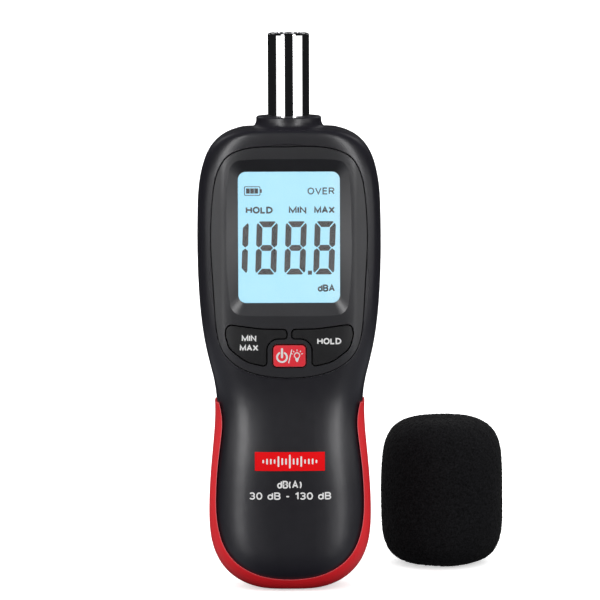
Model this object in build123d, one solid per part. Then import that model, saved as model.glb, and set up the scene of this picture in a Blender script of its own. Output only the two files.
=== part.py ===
from build123d import *
import math
import os

# Handheld sound level meter with a half-inch microphone, standing upright.
# Millimetres.  +Z runs up along the microphone, -Y is the display side.
# The origin is the centre of the small flat under the rubber grip.

# ---------------------------------------------------------------- dimensions
CASE_BOTTOM = 0.6            # plastic case starts inside the rubber grip
CASE_TOP = 141.8             # flat shoulder round the neck
WALL = 2.2                   # case wall
FRONT = -1                   # sign of Y on the display side
BACK = 1

# half width of the case along its height: (height, half width)
WIDTH_STATIONS = [(24, 24.4), (36, 23.85), (48, 22.75), (58, 22.45), (65, 23.3),
                  (72, 24.95), (80, 26.45), (91, 27.55), (104, 28.03)]
FRONT_STATIONS = [(24, 14.2), (42, 14.4), (60, 13.4), (76, 14.5), (92, 15.0), (128, 15.0)]
BACK_STATIONS = [(24, 13.8), (42, 14.0), (60, 12.2), (76, 12.8), (92, 13.0), (128, 13.0)]
GRIP_CENTRE = 24.0           # below this height the case rounds in to its base
HEAD_CENTRE = 104.0          # above this height the case rounds in to its neck
HEAD_REACH = 38.5
HEAD_POWER = 4.1
BASE_POWER = 2.7
DEPTH_RUN_OUT = 13.0         # height over which the depth rounds off at the base
BASE_HALF_DEPTH = 6.0
SHOULDER_HALF_DEPTH = 12.7
SHOULDER_START = 128.0
SECTION_STEPS = 8            # spline points on each quarter of a section
END_STEPS = 7                # sections in each rounded end

NECK_RADIUS = 9.97
NECK_TOP = 145.5
NECK_FLARE = 2.6
NECK_SLEEVE_BOTTOM = 134.6
NECK_SLEEVE_RADIUS = 10.2

MIC_RADIUS = 6.35            # half-inch microphone barrel
MIC_SHANK_RADIUS = 5.95      # thinner part of the barrel inside the neck
MIC_WALL = 0.5
MIC_TOP = 170.9
MIC_BOTTOM = 135.2
MIC_FLANGE_RADIUS = 7.4
MIC_FLANGE_Z = (138.0, 139.0)
GROMMET_RADIUS = 8.15
GROMMET_Z = (136.0, 143.6)

PANEL_BACK = -12.0           # back face of the inset front panel
FLOOR_BACK = -11.0           # back face of the case floor under the panel
FLOOR_START = 64.0
PANEL_GAP = 0.35
WINDOW_HALF_WIDTH = 15.45
WINDOW_Z = (89.4, 129.4)
WINDOW_CORNER = 2.4
LENS_FRONT = -13.0
LENS_MARGIN = 1.8
RECESS_HALF_WIDTH = (16.9, 19.55, 17.3)     # at the bottom, the middle and the top
RECESS_Z = (85.9, 133.1)
RECESS_MOUTH = -16.0         # plane just outside the panel where the recess is widest
RECESS_FLARE = 2.6           # growth of its outline from the panel's surface to there

LCD_HALF_WIDTH = 16.5
LCD_Z = (86.3, 132.0)
LCD_Y = (-11.9, -10.1)
GUIDE_Y = (-10.05, -7.0)
PCB_Y = (-5.6, -4.0)
PCB_TOP = 133.8
PCB_STEP = 84.0
PCB_BOTTOM = 67.6

KEY_GAP = 0.45
KEY_FLANGE = 0.75
KEY_FLANGE_Y = (-10.85, -10.1)
KEY_POST_RADIUS = 2.4
SWITCH_FRONT = -9.1
SWITCH_SIZE = 6.0
PLUNGER_RADIUS = 1.7
PLUNGER_Y = (-9.9, -8.3)
SWITCH_CENTRES = {"min_max": (-12.4, 76.4), "hold": (12.4, 76.4), "power": (0.0, 73.3)}
POWER_KEY_SIZE = (9.7, 6.5)
POWER_KEY_PROUD = 0.35

GRIP_PROUD = 0.6
GRIP_DEPTH = 1.2
TONGUE_TOP = 58.05           # flat upper ends of the grip

CELL_RADIUS = 5.25
CELL_PITCH = 11.0
CELL_Y = 4.2
CELL_BODY = 43.3
CELL_NUB = 1.2
BAY_Z = (11.4, 59.6)
TRAY_FLOOR = -1.2            # front wall of the battery bay
PLATE_Y = (0.45, 7.9)        # edges of the contact plates
PLATE = 0.3
SPRING_LENGTH = 3.0

DOOR_HALF_WIDTH = 15.5
DOOR_Z = (9.6, 54.0)
DOOR_WALL = 1.8
DOOR_GAP = 0.15

UPPER_SCREW = (21.6, 125.5)
LOWER_SCREW = (17.8, 64.6)
SCREW_SHAFT = 1.25
SCREW_SEAT_Y = 7.6
PCB_SCREWS = [(20.4, 92.0), (20.4, 114.0)]

FOAM_CENTRE = (48.3, 40.0)
FOAM_HEIGHT = 46.85
FOAM_RADIUS = 19.5
FOAM_WAIST = 21.5            # height of its widest section
FOAM_FOOT_RADIUS = 9.5
FOAM_POWER = 3.9             # squareness of the outline
FOAM_STEPS = 7
FOAM_BORE = 6.3
FOAM_BORE_DEPTH = 30.0


# ------------------------------------------------------------- small helpers
def block(x0, x1, y0, y1, z0, z1):
    """A box between two corners."""
    centre = ((x0 + x1) / 2, (y0 + y1) / 2, (z0 + z1) / 2)
    return Pos(*centre) * Box(x1 - x0, y1 - y0, z1 - z0)


def upright(y):
    """The plane of X and Z at a given Y, facing the display side."""
    return Plane(origin=(0, y, 0), x_dir=(1, 0, 0), z_dir=(0, -1, 0))


def slab(face, y_low, y_high):
    """A flat outline in X and Z, thickened from y_low to y_high."""
    return extrude(upright(y_high) * face, amount=y_high - y_low)


def rod_y(x, z, radius, y_low, y_high):
    """A round rod along Y."""
    return slab(Pos(x, z) * Circle(radius), y_low, y_high)


def rod_z(x, y, radius, z_low, z_high):
    """A round rod along Z."""
    return Pos(x, y, (z_low + z_high) / 2) * Cylinder(radius, z_high - z_low)


def rounded(half_width, z_low, z_high, corner):
    """A rounded rectangle in X and Z, centred on X = 0."""
    shape = RectangleRounded(2 * half_width, z_high - z_low, corner)
    return Pos(0, (z_low + z_high) / 2) * shape


def spun(points):
    """A solid of revolution about Z from (radius, height) points."""
    return revolve(Plane.XZ * make_face(Polyline(*points, close=True)), Axis.Z)


def smooth(z, stations):
    """A smooth curve through (height, value) stations, level at both ends."""
    last = len(stations) - 1
    if z <= stations[0][0]:
        return stations[0][1]
    if z >= stations[last][0]:
        return stations[last][1]
    i = max(k for k in range(last) if stations[k][0] <= z)

    def slope(k):
        if k == 0 or k == last:
            return 0.0
        rise = stations[k + 1][1] - stations[k - 1][1]
        return rise / (stations[k + 1][0] - stations[k - 1][0])

    z0, v0 = stations[i]
    z1, v1 = stations[i + 1]
    step = z1 - z0
    t = (z - z0) / step
    start = (1 + 2 * t) * (1 - t) ** 2 * v0 + t * (1 - t) ** 2 * step * slope(i)
    end = t * t * (3 - 2 * t) * v1 + t * t * (t - 1) * step * slope(i + 1)
    return start + end


def round_end(distance, reach, power):
    """How full a rounded end still is at a distance from where it starts."""
    share = min(max(distance / reach, 0.0), 1.0)
    return (1 - share ** power) ** (1 / power)


# -------------------------------------------------------------- case surface
def half_width(z):
    """Half the width of the case at a height."""
    if z < GRIP_CENTRE:
        return WIDTH_STATIONS[0][1] * round_end(GRIP_CENTRE + 0.1 - z, GRIP_CENTRE, BASE_POWER)
    if z > HEAD_CENTRE:
        return WIDTH_STATIONS[-1][1] * round_end(z - HEAD_CENTRE, HEAD_REACH, HEAD_POWER)
    return smooth(z, WIDTH_STATIONS)


def half_depth(z, side):
    """Distance of the case's front or back surface from the parting plane."""
    stations = FRONT_STATIONS if side == FRONT else BACK_STATIONS
    depth = smooth(z, stations)
    if z < DEPTH_RUN_OUT:
        full = round_end(DEPTH_RUN_OUT - z + CASE_BOTTOM, DEPTH_RUN_OUT, 2.4)
        return BASE_HALF_DEPTH + (depth - BASE_HALF_DEPTH) * full
    if z > SHOULDER_START:
        full = round_end(z - SHOULDER_START, CASE_TOP - SHOULDER_START, 2.2)
        return SHOULDER_HALF_DEPTH + (depth - SHOULDER_HALF_DEPTH) * full
    return depth


def profile_slope(z):
    """Angle by which the side of the case leans out from upright at a height."""
    step = 0.05
    low = min(max(z - step, CASE_BOTTOM), CASE_TOP)
    high = min(max(z + step, CASE_BOTTOM), CASE_TOP)
    return math.atan2(half_width(high) - half_width(low), high - low)


def section(z, inset):
    """The closed section of the case at a height, moved in square to the side."""
    lean = profile_slope(z)
    level = z + inset * math.sin(lean)
    if z in (CASE_BOTTOM, CASE_TOP):
        level = z + inset * (1 if z == CASE_BOTTOM else -1)
    width = half_width(z) - inset * math.cos(lean)
    front = half_depth(z, FRONT) - inset * math.cos(lean)
    back = half_depth(z, BACK) - inset * math.cos(lean)
    power = 2 / smooth(z, [(50, 3.0), (84, 5.2)])
    right = []
    for step in range(-SECTION_STEPS, SECTION_STEPS + 1):
        angle = math.pi / 2 * abs(step) / SECTION_STEPS
        depth = -front if step < 0 else back
        x = width * max(math.cos(angle), 0.0) ** power
        right.append((x, depth * math.sin(angle) ** power, level))
    right[0] = (0, -front, level)
    right[-1] = (0, back, level)
    left = [(-x, y, level) for x, y, level in reversed(right)]
    arches = [Spline(*right, tangents=[(1, 0, 0), (-1, 0, 0)]),
              Spline(*left, tangents=[(-1, 0, 0), (1, 0, 0)])]
    return make_face(Wire(arches))


def end_levels(start, stop, reach, power):
    """Heights spread evenly round a rounded end, from its flat to where it starts."""
    widest = math.acos((abs(stop - start) / reach) ** (power / 2))
    levels = []
    for step in range(END_STEPS):
        angle = widest + (math.pi / 2 - widest) * step / END_STEPS
        share = math.cos(angle) ** (2 / power)
        levels.append(start + math.copysign(reach * share, stop - start))
    levels[0] = stop
    return levels


def case_body(inset=0.0):
    """The solid case, its skin moved in by inset."""
    low = end_levels(GRIP_CENTRE, CASE_BOTTOM, GRIP_CENTRE, BASE_POWER)
    high = end_levels(HEAD_CENTRE, CASE_TOP, HEAD_REACH, HEAD_POWER)
    middle = [station[0] for station in WIDTH_STATIONS]
    return loft([section(z, inset) for z in low + middle + high[::-1]])


def half_space(side):
    """Everything on one side of the parting plane."""
    return block(-40, 40, min(0, 30 * side), max(0, 30 * side), -5, 150)


def neck(side):
    """Half of the collar that the microphone stands in, without its bore."""
    arc_points = []
    for step in range(9):
        angle = math.pi / 2 * step / 8
        arc_points.append((NECK_RADIUS + NECK_FLARE * (1 - math.sin(angle)),
                           CASE_TOP + NECK_FLARE * (1 - math.cos(angle))))
    outline = [(0, NECK_SLEEVE_BOTTOM), (NECK_SLEEVE_RADIUS, NECK_SLEEVE_BOTTOM),
               (NECK_SLEEVE_RADIUS, CASE_TOP - 1.5), (arc_points[0][0], CASE_TOP - 1.5)]
    outline += arc_points
    outline += [(NECK_RADIUS, NECK_TOP - 0.35), (NECK_RADIUS - 0.35, NECK_TOP), (0, NECK_TOP)]
    reach = block(-20, 20, min(0, 20 * side), max(0, 20 * side), 130, 150)
    return spun(outline) & reach


def neck_bore():
    """The stepped bore for the microphone barrel and its grommet."""
    barrel = rod_z(0, 0, MIC_RADIUS + 0.1, NECK_SLEEVE_BOTTOM - 1, NECK_TOP + 1)
    pocket = rod_z(0, 0, GROMMET_RADIUS + 0.05, GROMMET_Z[0] - 0.05, GROMMET_Z[1] + 0.05)
    return barrel + pocket


# ------------------------------------------------------------------ outlines
def panel_outline(grow=0.0):
    """Outline of the inset front panel, grown all round."""
    right = [(13.9, 136.1), (18.6, 133.8), (21.6, 128.8), (23.1, 120.5), (23.6, 107.2),
             (22.9, 94.0), (22.1, 82.0), (20.2, 74.8), (17.0, 71.1), (8.3, 67.4)]
    left = [(-x, z) for x, z in reversed(right)]
    points = [(0, 136.9)] + right + [(0, 66.6)] + left
    grown = []
    for i, (x, z) in enumerate(points):
        before, after = points[i - 1], points[(i + 1) % len(points)]
        run_x, run_z = after[0] - before[0], after[1] - before[1]
        length = math.hypot(run_x, run_z)
        grown.append((x - grow * run_z / length, z + grow * run_x / length))
    return make_face(Spline(*grown, periodic=True))


def barrel_outline(bottom, middle, top, z_low, z_high, corner):
    """An outline with level ends and bulging sides, given by its half widths."""
    z_mid = (z_low + z_high) / 2
    right = ThreePointArc((bottom, z_low), (middle, z_mid), (top, z_high))
    left = ThreePointArc((-top, z_high), (-middle, z_mid), (-bottom, z_low))
    face = make_face(Wire([right, Line(right @ 1, left @ 0), left, Line(left @ 1, right @ 0)]))
    return fillet(face.vertices(), corner)


def window_recess():
    """The sunken surround of the window: it bulges at both sides and narrows inwards."""
    bottom, middle, top = [half + RECESS_FLARE for half in RECESS_HALF_WIDTH]
    z_low, z_high = RECESS_Z[0] - RECESS_FLARE, RECESS_Z[1] + RECESS_FLARE
    mouth = upright(RECESS_MOUTH) * barrel_outline(bottom, middle, top, z_low, z_high, 4.5)
    half = WINDOW_HALF_WIDTH
    foot = upright(LENS_FRONT) * barrel_outline(half, half + 0.02, half, *WINDOW_Z, WINDOW_CORNER)
    return loft([foot.face(), mouth.face()], ruled=True)


def wing_key_outline(side):
    """Outline of a wing-shaped key; side is -1 for the left key, +1 for the right."""
    corners = [(18.9, 82.75, 1.5), (8.5, 81.4, 25.0), (0.95, 81.25, 0.9), (0.95, 78.75, 0.7),
               (7.1, 78.75, 3.8), (7.1, 70.2, 0.9), (12.9, 71.5, 9.0), (18.2, 75.6, 5.0),
               (19.3, 79.8, 3.0)]
    points = [(side * x, z) for x, z, radius in corners]
    radii = [radius for x, z, radius in corners]
    return make_face(FilletPolyline(*points, radius=radii, close=True))


def power_key_outline():
    """Outline of the centre key."""
    x, z = SWITCH_CENTRES["power"]
    return Pos(x, z) * RectangleRounded(*POWER_KEY_SIZE, 1.1)


def tongue_outline():
    """Outline of the bare plastic tongue between the two flanks of the rubber grip."""
    right = [(4.7, 4.2), (9.4, 5.2), (13.9, 7.2), (17.1, 9.6), (19.8, 13.0), (21.6, 17.5),
             (22.65, 24.0), (22.7, 30.0), (21.95, 40.5), (20.9, 49.0), (20.75, 53.0),
             (21.2, 56.3), (21.6, TONGUE_TOP)]
    left = [(-x, z) for x, z in reversed(right)]
    curve = Spline(*left, (0, 3.9), *right)
    high = 150
    frame = Polyline(right[-1], (30, TONGUE_TOP), (30, high), (-30, high),
                     (-30, TONGUE_TOP), left[0])
    return make_face(Wire([curve, *frame.edges()]))


def door_outline(shrink=0.0):
    """Outline of the battery door."""
    return rounded(DOOR_HALF_WIDTH - shrink, DOOR_Z[0] + shrink, DOOR_Z[1] - shrink, 3.0)


# -------------------------------------------------------------- case shells
def grip_layer(outer_inset):
    """The layer of the case outside the grip's seat, without the bare tongues."""
    layer = case_body(outer_inset) - case_body(GRIP_DEPTH)
    return layer - slab(tongue_outline(), -25, 25)


def make_front_shell(case, cavity, grip_pocket):
    interior = cavity - block(-40, 40, -30, FLOOR_BACK, FLOOR_START, 160)
    shell = (case - interior) & half_space(FRONT)
    shell = shell + neck(FRONT)
    posts = [rod_y(side * x, z, 1.8, -12.5, PCB_Y[0]) for x, z in PCB_SCREWS for side in (-1, 1)]
    posts += [rod_y(side * x, z, 2.6, -12.5, -0.05)
              for x, z in (UPPER_SCREW, LOWER_SCREW) for side in (-1, 1)]
    core = case_body(1.0)
    shell = shell + [post & core for post in posts]
    shell = shell - neck_bore()
    shell = shell - slab(panel_outline(PANEL_GAP), -20, PANEL_BACK)
    shell = shell - slab(rounded(16.8, 86.0, 132.3, 1.0), -13, FLOOR_BACK + 1)
    shell = shell - [slab(offset(key, KEY_GAP), -13, FLOOR_BACK + 1) for key in key_outlines()]
    holes = [rod_y(side * x, z, 0.85, -10.5, 1) for x, z in PCB_SCREWS for side in (-1, 1)]
    holes += [rod_y(side * x, z, SCREW_SHAFT + 0.05, -9.0, 1)
              for x, z in (UPPER_SCREW, LOWER_SCREW) for side in (-1, 1)]
    return shell - holes - grip_pocket


def make_back_shell(case, cavity, grip_pocket):
    shell = (case - cavity) & half_space(BACK)
    shell = shell + neck(BACK)
    tubes = [rod_y(side * x, z, 2.95, 0.1, 20)
             for x, z in (UPPER_SCREW, LOWER_SCREW) for side in (-1, 1)]
    core = case_body(0.5)
    shell = shell + [tube & core for tube in tubes]
    shell = shell - neck_bore()
    shell = shell - slab(door_outline(), 5, 25)
    for x, z in (UPPER_SCREW, LOWER_SCREW):
        for side in (-1, 1):
            shell = shell - rod_y(side * x, z, SCREW_SHAFT + 0.2, -1, 20)
            shell = shell - rod_y(side * x, z, 2.45, SCREW_SEAT_Y, 20)
    return shell - grip_pocket


def key_outlines():
    """The three key outlines, from left to right."""
    return [wing_key_outline(-1), power_key_outline(), wing_key_outline(1)]


def make_front_bezel(case):
    panel = case & slab(panel_outline(), -20, PANEL_BACK)
    panel = panel - window_recess()
    panel = panel - slab(rounded(WINDOW_HALF_WIDTH, *WINDOW_Z, WINDOW_CORNER), -14, -11)
    panel = panel - slab(lens_outline(0.05), LENS_FRONT, -11)
    return panel - [slab(offset(key, KEY_GAP), -20, -11) for key in key_outlines()]


def lens_outline(grow=0.0):
    """Outline of the clear window plate behind the panel."""
    reach = LENS_MARGIN + grow
    return rounded(WINDOW_HALF_WIDTH + reach, WINDOW_Z[0] - reach, WINDOW_Z[1] + reach, 1.5)


# ------------------------------------------------------------------- display
def make_display_lens():
    return slab(lens_outline(), LENS_FRONT, PANEL_BACK)


def make_lcd_cell():
    """Two glass plates; the rear one is longer and carries the contact ledge."""
    rear = block(-LCD_HALF_WIDTH, LCD_HALF_WIDTH, -11.0, LCD_Y[1], *LCD_Z)
    front = block(-LCD_HALF_WIDTH, LCD_HALF_WIDTH, LCD_Y[0], -11.0, LCD_Z[0] + 1.8, LCD_Z[1])
    return rear + front


def make_backlight_guide():
    """Clear light guide with a slanted back that spreads the light."""
    profile = Polyline((GUIDE_Y[0], 89.4), (GUIDE_Y[1], 89.4), (GUIDE_Y[1] - 0.9, 131.8),
                       (GUIDE_Y[0], 131.8), close=True)
    return extrude(Plane.YZ * make_face(profile), amount=14.4, both=True)


def make_backlight_led():
    """Strip of three side-firing lamps along the guide's right edge."""
    strip = block(15.6, 16.1, -9.8, -7.4, 96, 124)
    lamps = [block(14.6, 15.6, -9.6, -7.6, z - 1.7, z + 1.7) for z in (101, 110, 119)]
    return strip + lamps


def make_lcd_frame():
    tray = block(-18.2, 18.2, -10.9, PCB_Y[0], 84.8, 133.4)
    tray = fillet(tray.edges().filter_by(Axis.Y), 1.2)
    tray = tray - block(-16.65, 16.65, -11.5, -6.95, 86.15, 132.15)
    return tray - block(-14.15, 14.15, -8, -5, 86.75, 88.85)


def make_zebra_strip():
    """Layered rubber connector between the display's ledge and the board."""
    return block(-14.0, 14.0, LCD_Y[1], PCB_Y[0], 86.9, 88.7)


# --------------------------------------------------------------------- board
def make_main_pcb():
    upper = rounded(22.3, PCB_STEP, PCB_TOP, 3.0)
    lower = rounded(17.0, PCB_BOTTOM, PCB_STEP + 4, 1.5)
    board = slab(upper + lower, *PCB_Y)
    board = board & case_body(WALL + 0.3)
    holes = [rod_y(side * UPPER_SCREW[0], UPPER_SCREW[1], 3.0, -7, -3) for side in (-1, 1)]
    holes += [rod_y(side * x, z, 1.1, -7, -3) for x, z in PCB_SCREWS for side in (-1, 1)]
    return board - holes


def make_microcontroller():
    chip = block(-5, 5, PCB_Y[1], PCB_Y[1] + 1.4, 97, 107)
    legs = []
    for i in range(8):
        offset_z = 98.5 + i
        legs.append(block(-6.2, -5, PCB_Y[1], PCB_Y[1] + 0.5, offset_z - 0.2, offset_z + 0.2))
        legs.append(block(5, 6.2, PCB_Y[1], PCB_Y[1] + 0.5, offset_z - 0.2, offset_z + 0.2))
    return chip + legs


def make_amplifier_chip():
    chip = block(-11.5, -7.5, PCB_Y[1], PCB_Y[1] + 1.4, 115.5, 120.5)
    legs = []
    for i in range(4):
        z = 116.1 + 1.27 * i
        legs.append(block(-12.5, -11.5, PCB_Y[1], PCB_Y[1] + 0.5, z - 0.2, z + 0.2))
        legs.append(block(-7.5, -6.5, PCB_Y[1], PCB_Y[1] + 0.5, z - 0.2, z + 0.2))
    return chip + legs


def make_board_capacitors():
    cans = [rod_y(x, z, 2.0, PCB_Y[1], PCB_Y[1] + 5.2) for x, z in ((9, 119), (14, 119), (12, 79))]
    return Compound(children=[fillet(can.edges().sort_by(Axis.Y)[-1], 0.3) for can in cans])


def make_key_switches():
    """Bodies of the three push switches, each with a bore for its plunger."""
    bodies = []
    half = SWITCH_SIZE / 2
    for x, z in SWITCH_CENTRES.values():
        body = block(x - half, x + half, SWITCH_FRONT, PCB_Y[0], z - half, z + half)
        body = body - rod_y(x, z, PLUNGER_RADIUS + 0.05, -10, -7.6)
        bodies.append(body)
    return Compound(children=bodies)


# ---------------------------------------------------------------------- keys
def key_cap(outline, name, skin):
    """A key that follows the case surface, with a flange behind the case floor."""
    x, z = SWITCH_CENTRES[name]
    cap = slab(outline, -20, KEY_FLANGE_Y[0]) & skin
    flange = slab(offset(outline, KEY_FLANGE), *KEY_FLANGE_Y)
    post = rod_y(x, z, KEY_POST_RADIUS, KEY_FLANGE_Y[1] - 0.3, PLUNGER_Y[0])
    return cap + flange + post


def make_key_plunger(name):
    x, z = SWITCH_CENTRES[name]
    return rod_y(x, z, PLUNGER_RADIUS, *PLUNGER_Y)


# ---------------------------------------------------------------- microphone
def make_mic_barrel():
    outer, inner = MIC_RADIUS, MIC_RADIUS - MIC_WALL
    low, high = MIC_FLANGE_Z
    rim = [(outer - 0.7 + 0.7 * math.cos(a), MIC_TOP - 0.7 + 0.7 * math.sin(a))
           for a in (math.pi / 8 * step for step in range(5))]
    shank = MIC_SHANK_RADIUS
    profile = [(shank - 0.4, MIC_BOTTOM), (shank, MIC_BOTTOM), (shank, low),
               (MIC_FLANGE_RADIUS, low), (MIC_FLANGE_RADIUS, high), (shank, high),
               (shank, NECK_TOP - 0.1), (outer, NECK_TOP - 0.1)] + rim
    profile += [(4.7, MIC_TOP), (4.7, MIC_TOP - 0.5), (inner, MIC_TOP - 0.5),
                (inner, NECK_TOP + 0.4), (shank - 0.4, NECK_TOP + 0.4)]
    return spun(profile)


def make_mic_grid():
    """Perforated disc that protects the capsule."""
    disc = rod_z(0, 0, MIC_RADIUS - MIC_WALL - 0.03, MIC_TOP - 1.0, MIC_TOP - 0.5)
    holes = [rod_z(0, 0, 0.42, MIC_TOP - 2, MIC_TOP)]
    for count, radius in ((6, 1.45), (12, 2.9), (18, 4.2)):
        for i in range(count):
            angle = 2 * math.pi * i / count
            x, y = radius * math.cos(angle), radius * math.sin(angle)
            holes.append(rod_z(x, y, 0.42, MIC_TOP - 2, MIC_TOP))
    return disc - holes


def make_mic_capsule():
    body = rod_z(0, 0, 4.8, 161.3, 168.6)
    port = rod_z(0, 0, 1.0, 168.1, 170)
    return body - port


def make_mic_sleeve():
    """Insulating cup that holds the capsule in the barrel."""
    inner = MIC_RADIUS - MIC_WALL - 0.03
    return spun([(1.6, 160.0), (inner, 160.0), (inner, 169.85), (4.85, 169.85),
                 (4.85, 161.25), (1.6, 161.25)])


def make_neck_grommet():
    """Rubber ring that grips the barrel and its flange in the neck."""
    low, high = MIC_FLANGE_Z
    inner = MIC_SHANK_RADIUS + 0.02
    return spun([(inner, GROMMET_Z[0]), (GROMMET_RADIUS, GROMMET_Z[0]),
                 (GROMMET_RADIUS, GROMMET_Z[1]), (inner, GROMMET_Z[1]), (inner, high + 0.05),
                 (MIC_FLANGE_RADIUS + 0.05, high + 0.05), (MIC_FLANGE_RADIUS + 0.05, low - 0.05),
                 (inner, low - 0.05)])


def wire_run(points, diameter):
    """A round wire along straight runs joined by the largest arcs that fit."""
    vectors = [Vector(*point) for point in points]
    radii = []
    for before, here, after in zip(vectors, vectors[1:], vectors[2:]):
        run_in, run_out = here - before, after - here
        turn = math.radians(run_in.get_angle(run_out))
        radii.append(0.45 * min(run_in.length, run_out.length) / math.tan(turn / 2))
    path = FilletPolyline(*points, radius=radii)
    print("wire radii", [round(radius, 1) for radius in radii])
    section = Plane(origin=points[0], z_dir=path % 0) * Circle(diameter / 2)
    return sweep(section, path=path)


def make_mic_lead():
    route = [(0, 0, 161.2), (0.6, 0.5, 151.5), (-0.5, -0.3, 141.5), (0.3, 0.6, 132.5),
             (0, PCB_Y[1], 125.6)]
    return wire_run(route, 1.4)


# ----------------------------------------------------------------- batteries
def bay_cells():
    """X centre of each cell and whether its positive end is up."""
    return [(-CELL_PITCH, True), (0.0, False), (CELL_PITCH, True)]


def make_battery_tray():
    half = 1.5 * CELL_PITCH + 0.1
    z_low, z_high = BAY_Z
    tray = block(-half - 0.9, half + 0.9, TRAY_FLOOR - 1, CELL_Y + 2.9, z_low - 1, z_high + 1)
    tray = tray - block(-half, half, TRAY_FLOOR, 10, z_low, z_high)
    ribs = [block(x - 0.6, x + 0.6, TRAY_FLOOR, TRAY_FLOOR + 1.6, z_low, z_high)
            for x in (-CELL_PITCH / 2, CELL_PITCH / 2)]
    slots = [block(-12.05, -9.95, PLATE_Y[0], PLATE_Y[0] + 2.1, z_high - 1, z_high + 2),
             block(9.95, 12.05, PLATE_Y[0], PLATE_Y[0] + 2.1, z_low - 2, z_low + 1)]
    return tray + ribs - slots


def make_aaa_cell(x, positive_up):
    z_low, z_high = BAY_Z
    gap = PLATE + 0.05
    if positive_up:
        base = z_low + gap + SPRING_LENGTH
        body = rod_z(x, CELL_Y, CELL_RADIUS, base, base + CELL_BODY)
        nub = rod_z(x, CELL_Y, 1.9, base + CELL_BODY, base + CELL_BODY + CELL_NUB)
    else:
        top = z_high - gap - SPRING_LENGTH
        body = rod_z(x, CELL_Y, CELL_RADIUS, top - CELL_BODY, top)
        nub = rod_z(x, CELL_Y, 1.9, top - CELL_BODY - CELL_NUB, top - CELL_BODY)
    ends = [e for e in body.edges().filter_by(GeomType.CIRCLE)]
    return fillet(ends, 0.4) + nub


def make_battery_plates():
    """Two terminal plates with solder tabs and two bridging plates."""
    z_low, z_high = BAY_Z
    y0, y1 = PLATE_Y
    tab_y = (y0 + 0.05, y0 + 0.05 + PLATE)
    low_pair = block(-15.4, 4.0, y0, y1, z_low, z_low + PLATE)
    low_single = block(7.0, 15.4, y0, y1, z_low, z_low + PLATE)
    high_single = block(-15.4, -7.0, y0, y1, z_high - PLATE, z_high)
    high_pair = block(-4.0, 15.4, y0, y1, z_high - PLATE, z_high)
    low_single = low_single + block(10, 12, *tab_y, z_low - 2.4, z_low + PLATE)
    high_single = high_single + block(-12, -10, *tab_y, z_high - PLATE, z_high + 2.4)
    return Compound(children=[low_pair, low_single, high_single, high_pair])


def make_battery_springs():
    """Conical contact springs at the negative ends of the cells."""
    springs = []
    for x, positive_up in bay_cells():
        start = BAY_Z[0] + PLATE + 0.25 if positive_up else BAY_Z[1] - PLATE - SPRING_LENGTH + 0.25
        coil = Pos(x, CELL_Y, start) * Helix(0.85, SPRING_LENGTH - 0.5, 2.6)
        section = Plane(origin=coil @ 0, z_dir=coil % 0) * Circle(0.22)
        springs.append(sweep(section, path=coil, is_frenet=True))
    return Compound(children=springs)


def make_positive_lead():
    z = BAY_Z[1] + 2.45
    route = [(-11, 0.65, z), (-10.6, 0.4, z + 3.0), (-9.4, -1.4, z + 6.4), (-8.6, PCB_Y[1], z + 9.0)]
    return wire_run(route, 1.2)


def make_negative_lead():
    route = [(11, 0.45, 9.5), (11, -4.6, 9.4), (11.2, -7.6, 13.6), (11.6, -8.4, 23.0),
             (10.9, -8.0, 36.0), (11.5, -7.2, 49.0), (10.8, -3.7, 59.0), (9.9, -1.9, 64.6),
             (9.2, PCB_Y[1], 69.0)]
    return wire_run(route, 1.2)


# --------------------------------------------------------------- rear pieces
def make_battery_door(case):
    """Door in the back of the handle: it hooks in at its lower edge and swings out."""
    door = slab(door_outline(DOOR_GAP), 5, 25) & case
    door = door - case_body(DOOR_WALL)
    inside = case_body(DOOR_WALL - 0.5)
    proud = case_body(-0.35)
    for x in (-9.0, 9.0):
        hook = block(x - 2, x + 2, 9.2, 10.2, 7.8, 11.6)
        web = block(x - 2, x + 2, 9.2, 14, 10.3, 11.6) & inside
        door = door + hook + web
    for z in (44.0, 46.2, 48.4):
        door = door + (slab(Pos(0, z) * SlotOverall(12, 0.9), 12.8, 25) & proud)
    return door


def make_door_pad():
    """Foam strip inside the door that keeps the cells from rattling."""
    return block(-12, 12, 9.7, 14, 30, 38) & case_body(DOOR_WALL + 0.02)


def make_rating_label(case):
    """Blank label on the back of the head."""
    label = slab(rounded(15, 84, 112, 1.5), 5, 25) & case_body(-0.15)
    return label - case


def screw(x, z, y_tip, y_seat, shaft, head, head_height):
    """A pan-head screw along Y with a cross recess."""
    body = rod_y(x, z, shaft, y_tip, y_seat) + rod_y(x, z, head, y_seat, y_seat + head_height)
    top = y_seat + head_height
    slot = 0.35 * head
    body = body - block(x - 1.6 * slot, x + 1.6 * slot, top - 0.7, top + 1, z - 0.25, z + 0.25)
    return body - block(x - 0.25, x + 0.25, top - 0.7, top + 1, z - 1.6 * slot, z + 1.6 * slot)


def make_case_screws():
    places = [(side * x, z) for x, z in (UPPER_SCREW, LOWER_SCREW) for side in (-1, 1)]
    return Compound(children=[screw(x, z, -8.0, SCREW_SEAT_Y, SCREW_SHAFT, 2.2, 1.5)
                              for x, z in places])


def make_pcb_screws():
    places = [(side * x, z) for x, z in PCB_SCREWS for side in (-1, 1)]
    return Compound(children=[screw(x, z, -9.8, PCB_Y[1], 0.8, 1.7, 1.1) for x, z in places])


# ---------------------------------------------------------------- windscreen
def quarter_point(angle, reach):
    """A point of the foam's rounded side: its distance out and its distance along the axis."""
    share = 2 / FOAM_POWER
    return FOAM_RADIUS * math.cos(angle) ** share, reach * math.sin(angle) ** share


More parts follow.
